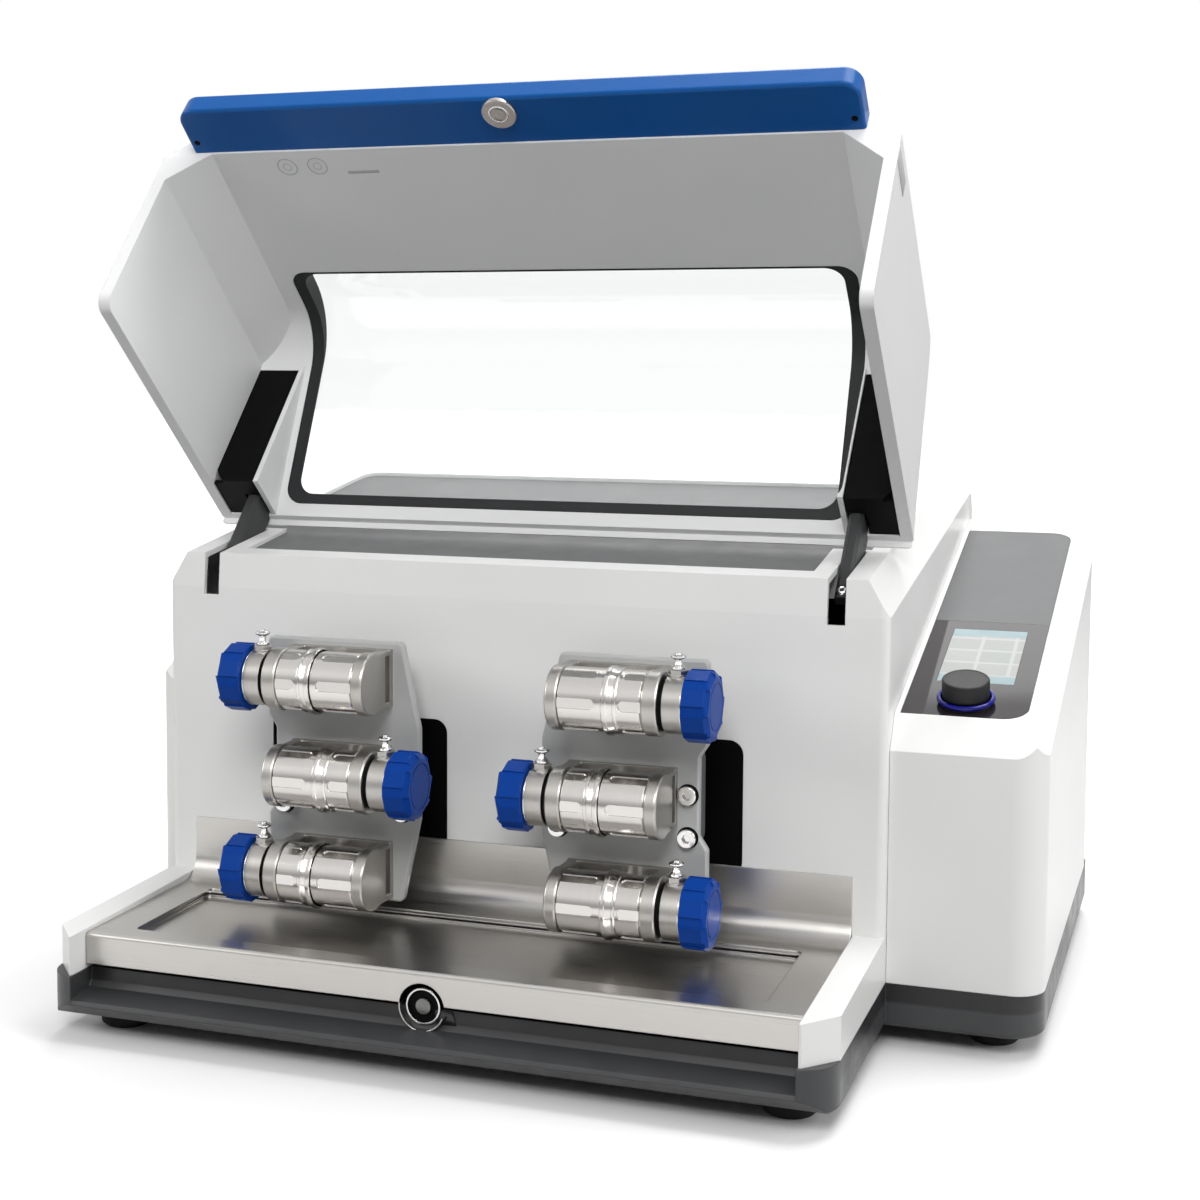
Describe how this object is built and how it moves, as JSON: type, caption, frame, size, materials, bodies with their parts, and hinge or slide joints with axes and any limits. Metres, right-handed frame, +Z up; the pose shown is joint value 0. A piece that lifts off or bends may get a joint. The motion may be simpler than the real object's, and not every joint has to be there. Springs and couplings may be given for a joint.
{
  "type": "laboratory mixer mill",
  "caption": "Bench-top laboratory mixer mill with a hinged front hood and window, swinging clamp stations for steel grinding jars, a steel drip tray, a control console and a motor drive",
  "frame": {"origin": "centre of the overall footprint, on the bench under the feet; +X to the operator's right, +Y to the rear, +Z up", "axes": "+X width, +Y depth towards the rear, +Z up"},
  "size_m": [0.69, 0.585, 0.6573],
  "materials": {
    "shell": "satin",
    "base": "matte",
    "rubber": "matte",
    "seal": "matte",
    "inlay": "matte",
    "console_glass": "polished",
    "screen": "polished",
    "knob_black": "matte",
    "handle_blue": "satin",
    "wheel_blue": "satin",
    "ring_blue": "polished",
    "stainless": "brushed",
    "jar_steel": "polished",
    "bright_steel": "polished",
    "plate_paint": "satin",
    "casting": "cast",
    "dark_metal": "satin",
    "window": "polished",
    "black_plastic": "matte",
    "panel_paint": "satin"
  },
  "bodies": {
    "base": {"base_pan": "base", "rubber_feet": "rubber", "main_housing": "shell", "top_inlay": "inlay", "wall_seals": "seal", "drip_tray": "stainless", "lid_magnet": "bright_steel", "left_side_cover": "shell", "console_housing": "shell", "console_rear_inlay": "inlay", "display_glass": "console_glass", "touch_display": "screen", "dial_ring": "ring_blue", "rear_panel": "panel_paint", "power_inlet": "black_plastic", "drive_frame": "casting", "rocker_shafts": "bright_steel", "drive_motor": "dark_metal", "hinge_pins": "bright_steel"},
    "lid": {"hood_shell": "shell", "window_pane": "window", "window_gasket": "seal", "front_bar": "handle_blue", "armature_plate": "bright_steel", "hinge_arms": "dark_metal", "arm_covers": "black_plastic"},
    "knob": {"control_knob": "knob_black"},
    "switch": {"mains_switch": "black_plastic"},
    "eccentric": {"eccentric_shaft": "bright_steel"},
    "rocker_left": {"rocker_arm_left": "casting", "holder_plate_left": "plate_paint", "plate_screws_left": "bright_steel", "jar_brackets_left": "stainless", "jar_bodies_left": "jar_steel", "jar_caps_left": "jar_steel"},
    "clamp_left_top": {"clamp_pad_left_top": "bright_steel"},
    "wheel_left_top": {"handwheel_left_top": "wheel_blue"},
    "pin_left_top": {"plunger_left_top": "bright_steel"},
    "clamp_left_middle": {"clamp_pad_left_middle": "bright_steel"},
    "wheel_left_middle": {"handwheel_left_middle": "wheel_blue"},
    "pin_left_middle": {"plunger_left_middle": "bright_steel"},
    "clamp_left_bottom": {"clamp_pad_left_bottom": "bright_steel"},
    "wheel_left_bottom": {"handwheel_left_bottom": "wheel_blue"},
    "pin_left_bottom": {"plunger_left_bottom": "bright_steel"},
    "rocker_right": {"rocker_arm_right": "casting", "holder_plate_right": "plate_paint", "plate_screws_right": "bright_steel", "jar_brackets_right": "stainless", "jar_bodies_right": "jar_steel", "jar_caps_right": "jar_steel"},
    "clamp_right_top": {"clamp_pad_right_top": "bright_steel"},
    "wheel_right_top": {"handwheel_right_top": "wheel_blue"},
    "pin_right_top": {"plunger_right_top": "bright_steel"},
    "clamp_right_middle": {"clamp_pad_right_middle": "bright_steel"},
    "wheel_right_middle": {"handwheel_right_middle": "wheel_blue"},
    "pin_right_middle": {"plunger_right_middle": "bright_steel"},
    "clamp_right_bottom": {"clamp_pad_right_bottom": "bright_steel"},
    "wheel_right_bottom": {"handwheel_right_bottom": "wheel_blue"},
    "pin_right_bottom": {"plunger_right_bottom": "bright_steel"}
  },
  "joints": [
    {"name": "lid_hinge", "type": "hinge", "parent": "base", "child": "lid", "pos_m": [-0.033, -0.07425, 0.31164], "axis": [1, 0, 0], "range_deg": [0, 132.75]},
    {"name": "dial_turn", "type": "hinge", "parent": "base", "child": "knob", "pos_m": [0.286, -0.0729, 0.23456], "axis": [0, -0.2732, 0.962], "continuous": true},
    {"name": "mains_switch_rock", "type": "hinge", "parent": "base", "child": "switch", "pos_m": [0.078, 0.2865, 0.101], "axis": [1, 0, 0], "range_deg": [0, 12]},
    {"name": "eccentric_turn", "type": "hinge", "parent": "base", "child": "eccentric", "pos_m": [-0.0387, -0.0105, 0.075], "axis": [0, 0, 1], "continuous": true},
    {"name": "rocker_swing_left", "type": "hinge", "parent": "base", "child": "rocker_left", "pos_m": [-0.144, -0.0585, 0.173], "axis": [0, 0, 1], "range_deg": [-3, 3]},
    {"name": "clamp_slide_left_top", "type": "slide", "parent": "rocker_left", "child": "clamp_left_top", "axis": [-1, 0, 0], "range_m": [0, 0.004]},
    {"name": "wheel_turn_left_top", "type": "hinge", "parent": "clamp_left_top", "child": "wheel_left_top", "pos_m": [-0.204, -0.1875, 0.2408], "axis": [-1, 0, 0], "range_deg": [0, 360]},
    {"name": "pin_pull_left_top", "type": "slide", "parent": "rocker_left", "child": "pin_left_top", "axis": [0, 0, 1], "range_m": [0, 0.005], "stiffness_N_per_m": 400},
    {"name": "clamp_slide_left_middle", "type": "slide", "parent": "rocker_left", "child": "clamp_left_middle", "axis": [1, 0, 0], "range_m": [0, 0.004]},
    {"name": "wheel_turn_left_middle", "type": "hinge", "parent": "clamp_left_middle", "child": "wheel_left_middle", "pos_m": [-0.084, -0.1875, 0.1716], "axis": [1, 0, 0], "range_deg": [0, 360]},
    {"name": "pin_pull_left_middle", "type": "slide", "parent": "rocker_left", "child": "pin_left_middle", "axis": [0, 0, 1], "range_m": [0, 0.005], "stiffness_N_per_m": 400},
    {"name": "clamp_slide_left_bottom", "type": "slide", "parent": "rocker_left", "child": "clamp_left_bottom", "axis": [-1, 0, 0], "range_m": [0, 0.004]},
    {"name": "wheel_turn_left_bottom", "type": "hinge", "parent": "clamp_left_bottom", "child": "wheel_left_bottom", "pos_m": [-0.204, -0.1875, 0.1024], "axis": [-1, 0, 0], "range_deg": [0, 360]},
    {"name": "pin_pull_left_bottom", "type": "slide", "parent": "rocker_left", "child": "pin_left_bottom", "axis": [0, 0, 1], "range_m": [0, 0.005], "stiffness_N_per_m": 400},
    {"name": "rocker_swing_right", "type": "hinge", "parent": "base", "child": "rocker_right", "pos_m": [0.0666, -0.0585, 0.173], "axis": [0, 0, 1], "range_deg": [-3, 3]},
    {"name": "clamp_slide_right_top", "type": "slide", "parent": "rocker_right", "child": "clamp_right_top", "axis": [1, 0, 0], "range_m": [0, 0.004]},
    {"name": "wheel_turn_right_top", "type": "hinge", "parent": "clamp_right_top", "child": "wheel_right_top", "pos_m": [0.1266, -0.1875, 0.2408], "axis": [1, 0, 0], "range_deg": [0, 360]},
    {"name": "pin_pull_right_top", "type": "slide", "parent": "rocker_right", "child": "pin_right_top", "axis": [0, 0, 1], "range_m": [0, 0.005], "stiffness_N_per_m": 400},
    {"name": "clamp_slide_right_middle", "type": "slide", "parent": "rocker_right", "child": "clamp_right_middle", "axis": [-1, 0, 0], "range_m": [0, 0.004]},
    {"name": "wheel_turn_right_middle", "type": "hinge", "parent": "clamp_right_middle", "child": "wheel_right_middle", "pos_m": [0.0066, -0.1875, 0.1716], "axis": [-1, 0, 0], "range_deg": [0, 360]},
    {"name": "pin_pull_right_middle", "type": "slide", "parent": "rocker_right", "child": "pin_right_middle", "axis": [0, 0, 1], "range_m": [0, 0.005], "stiffness_N_per_m": 400},
    {"name": "clamp_slide_right_bottom", "type": "slide", "parent": "rocker_right", "child": "clamp_right_bottom", "axis": [1, 0, 0], "range_m": [0, 0.004]},
    {"name": "wheel_turn_right_bottom", "type": "hinge", "parent": "clamp_right_bottom", "child": "wheel_right_bottom", "pos_m": [0.1266, -0.1875, 0.1024], "axis": [1, 0, 0], "range_deg": [0, 360]},
    {"name": "pin_pull_right_bottom", "type": "slide", "parent": "rocker_right", "child": "pin_right_bottom", "axis": [0, 0, 1], "range_m": [0, 0.005], "stiffness_N_per_m": 400}
  ],
  "couplings": [
    {"joint": "wheel_turn_left_top", "follows": "clamp_slide_left_top", "rad_per_m": 1570.8},
    {"joint": "wheel_turn_left_middle", "follows": "clamp_slide_left_middle", "rad_per_m": 1570.8},
    {"joint": "wheel_turn_left_bottom", "follows": "clamp_slide_left_bottom", "rad_per_m": 1570.8},
    {"joint": "wheel_turn_right_top", "follows": "clamp_slide_right_top", "rad_per_m": 1570.8},
    {"joint": "wheel_turn_right_middle", "follows": "clamp_slide_right_middle", "rad_per_m": 1570.8},
    {"joint": "wheel_turn_right_bottom", "follows": "clamp_slide_right_bottom", "rad_per_m": 1570.8},
    {"joint": "rocker_swing_right", "follows": "rocker_swing_left", "ratio": -1}
  ]
}
